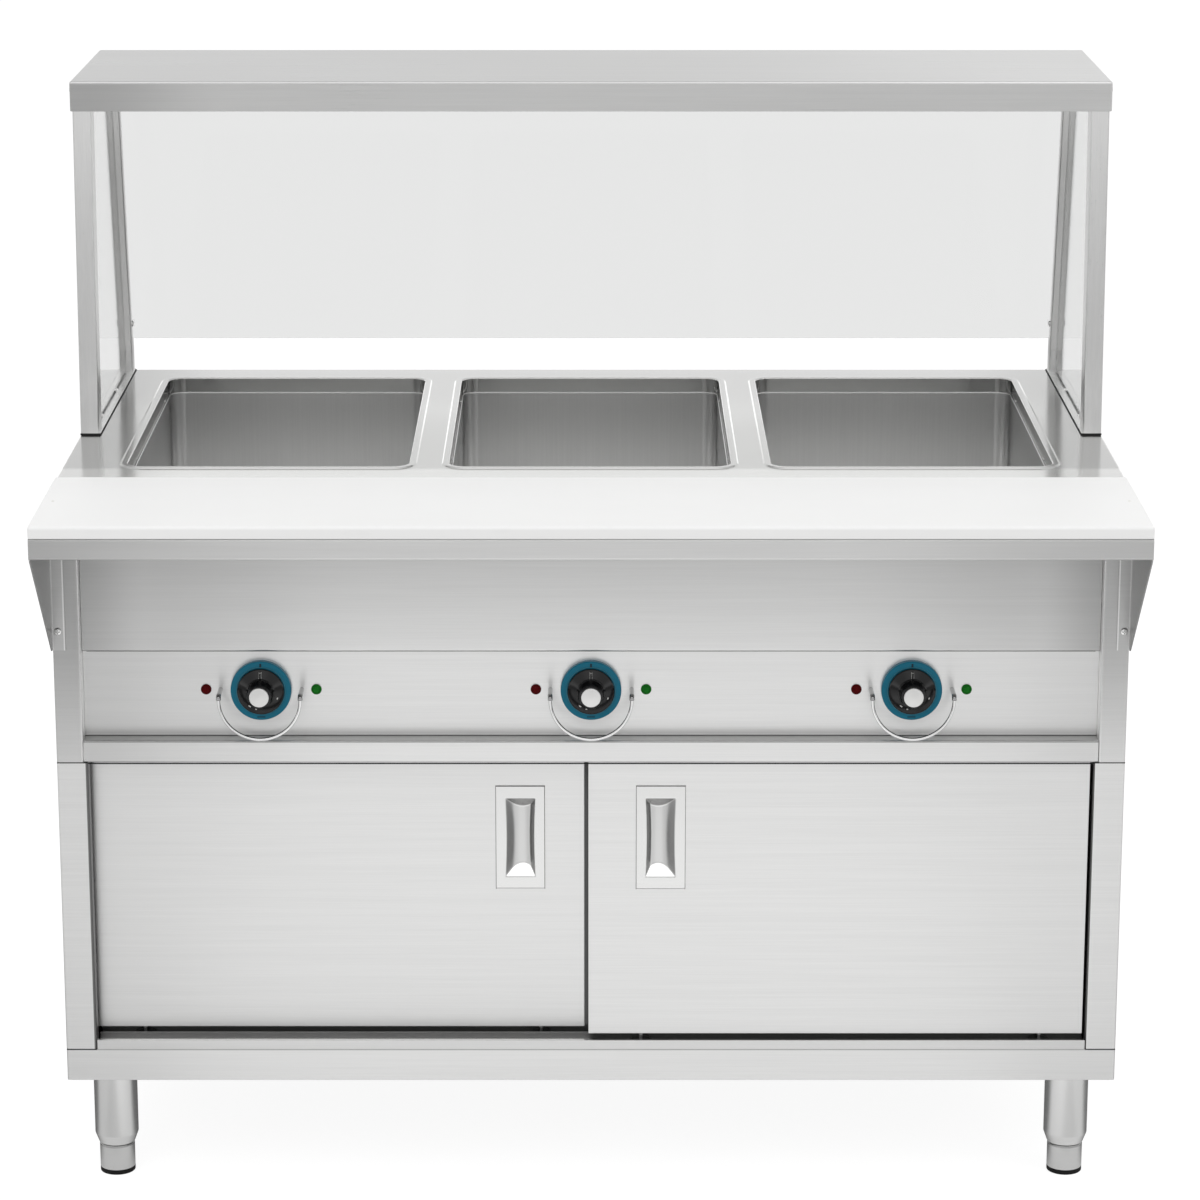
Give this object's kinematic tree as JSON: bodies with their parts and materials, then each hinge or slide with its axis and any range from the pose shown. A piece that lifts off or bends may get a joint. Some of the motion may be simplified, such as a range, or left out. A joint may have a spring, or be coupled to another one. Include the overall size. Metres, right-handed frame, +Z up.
{
  "type": "electric steam table",
  "caption": "Stainless electric steam table: heated wells in a counter, knob controls with wire guards, sliding-door cabinet, cutting board and glazed overshelf.",
  "frame": {"origin": "centre of the bounding box's footprint, on the floor", "axes": "+X to the right as seen from the control side, +Y to the rear, +Z up"},
  "size_m": [1.2278, 0.8798, 1.248],
  "materials": {
    "body_steel": "fine horizontal grain",
    "shelf_steel": "fine horizontal grain",
    "counter_steel": "fine horizontal grain",
    "post_steel": "fine upright grain",
    "well_steel": "drawn, semi-bright",
    "cup_steel": "pressed, bright",
    "leg_steel": "turned, satin",
    "screw_steel": "bright",
    "hanger_steel": "plain",
    "track_steel": "plain",
    "galvanised": "dull sheet",
    "element_sheath": "oxidised sheath",
    "guard_chrome": "polished wire",
    "knob_cap_silver": "satin disc",
    "knob_black": "gloss",
    "dial_blue": "satin blue",
    "red_lens": "translucent lens",
    "green_lens": "translucent lens",
    "cutting_board": "fine matt",
    "clear_glass": "clear",
    "foot_rubber": "matt",
    "roller_nylon": "plain",
    "terminal_plastic": "plain",
    "wire_sleeve": "plain",
    "gland_black": "plain",
    "thermostat_case": "plain"
  },
  "bodies": {
    "table": {"back_panels": "galvanised", "base_pan": "body_steel", "base_strips": "post_steel", "body_floor": "galvanised", "control_panel": "body_steel", "counter_top": "counter_steel", "cutting_board": "cutting_board", "dial_bezels": "dial_blue", "door_tracks": "track_steel", "fascia_panel": "body_steel", "front_posts": "post_steel", "green_lamps": "green_lens", "heat_shield": "galvanised", "heating_elements": "element_sheath", "insulation_trays": "galvanised", "knob_guards": "guard_chrome", "left_lower_side": "body_steel", "left_upper_side": "body_steel", "left_well": "well_steel", "leg_tubes": "leg_steel", "middle_well": "well_steel", "overshelf": "shelf_steel", "panel_screws": "screw_steel", "rear_glass": "clear_glass", "rear_posts": "post_steel", "red_lamps": "red_lens", "right_lower_side": "body_steel", "right_upper_side": "body_steel", "right_well": "well_steel", "shelf_brackets": "shelf_steel", "side_glasses": "clear_glass", "supply_gland": "gland_black", "terminal_block": "terminal_plastic", "thermostats": "thermostat_case", "wiring_loom": "wire_sleeve", "work_shelf": "shelf_steel"},
    "left_door": {"left_door": "body_steel", "left_door_handle": "cup_steel", "left_door_hangers": "hanger_steel"},
    "right_door": {"right_door": "body_steel", "right_door_handle": "cup_steel", "right_door_hangers": "hanger_steel"},
    "left_door_left_roller": {"left_door_left_roller": "roller_nylon"},
    "left_door_right_roller": {"left_door_right_roller": "roller_nylon"},
    "right_door_left_roller": {"right_door_left_roller": "roller_nylon"},
    "right_door_right_roller": {"right_door_right_roller": "roller_nylon"},
    "left_knob": {"left_knob": "knob_black", "left_knob_cap": "knob_cap_silver"},
    "middle_knob": {"middle_knob": "knob_black", "middle_knob_cap": "knob_cap_silver"},
    "right_knob": {"right_knob": "knob_black", "right_knob_cap": "knob_cap_silver"},
    "front_left_foot": {"front_left_foot": "leg_steel", "front_left_foot_cap": "foot_rubber"},
    "front_right_foot": {"front_right_foot": "leg_steel", "front_right_foot_cap": "foot_rubber"},
    "rear_left_foot": {"rear_left_foot": "leg_steel", "rear_left_foot_cap": "foot_rubber"},
    "rear_right_foot": {"rear_right_foot": "leg_steel", "rear_right_foot_cap": "foot_rubber"}
  },
  "joints": [
    {"name": "left_door_slide", "type": "slide", "parent": "table", "child": "left_door", "axis": [1, 0, 0], "range_m": [0, 0.56]},
    {"name": "right_door_slide", "type": "slide", "parent": "table", "child": "right_door", "axis": [-1, 0, 0], "range_m": [0, 0.56]},
    {"name": "left_door_left_roller_spin", "type": "hinge", "parent": "left_door", "child": "left_door_left_roller", "pos_m": [-0.5206, -0.2399, 0.5318], "axis": [0, 1, 0], "continuous": true},
    {"name": "left_door_right_roller_spin", "type": "hinge", "parent": "left_door", "child": "left_door_right_roller", "pos_m": [-0.058, -0.2399, 0.5318], "axis": [0, 1, 0], "continuous": true},
    {"name": "right_door_left_roller_spin", "type": "hinge", "parent": "right_door", "child": "right_door_left_roller", "pos_m": [0.058, -0.2639, 0.5318], "axis": [0, 1, 0], "continuous": true},
    {"name": "right_door_right_roller_spin", "type": "hinge", "parent": "right_door", "child": "right_door_right_roller", "pos_m": [0.5206, -0.2639, 0.5318], "axis": [0, 1, 0], "continuous": true},
    {"name": "left_knob_turn", "type": "hinge", "parent": "table", "child": "left_knob", "pos_m": [-0.375, -0.2809, 0.5975], "axis": [0, 1, 0], "range_deg": [0, 280]},
    {"name": "middle_knob_turn", "type": "hinge", "parent": "table", "child": "middle_knob", "pos_m": [0, -0.2809, 0.5975], "axis": [0, 1, 0], "range_deg": [0, 280]},
    {"name": "right_knob_turn", "type": "hinge", "parent": "table", "child": "right_knob", "pos_m": [0.3645, -0.2809, 0.5975], "axis": [0, 1, 0], "range_deg": [0, 280]},
    {"name": "front_left_foot_height", "type": "slide", "parent": "table", "child": "front_left_foot", "axis": [0, 0, -1], "range_m": [0, 0.025]},
    {"name": "front_right_foot_height", "type": "slide", "parent": "table", "child": "front_right_foot", "axis": [0, 0, -1], "range_m": [0, 0.025]},
    {"name": "rear_left_foot_height", "type": "slide", "parent": "table", "child": "rear_left_foot", "axis": [0, 0, -1], "range_m": [0, 0.025]},
    {"name": "rear_right_foot_height", "type": "slide", "parent": "table", "child": "rear_right_foot", "axis": [0, 0, -1], "range_m": [0, 0.025]}
  ],
  "couplings": [
    {"joint": "left_door_left_roller_spin", "follows": "left_door_slide", "rad_per_m": 181.82},
    {"joint": "left_door_right_roller_spin", "follows": "left_door_slide", "rad_per_m": 181.82},
    {"joint": "right_door_left_roller_spin", "follows": "right_door_slide", "rad_per_m": -181.82},
    {"joint": "right_door_right_roller_spin", "follows": "right_door_slide", "rad_per_m": -181.82}
  ]
}
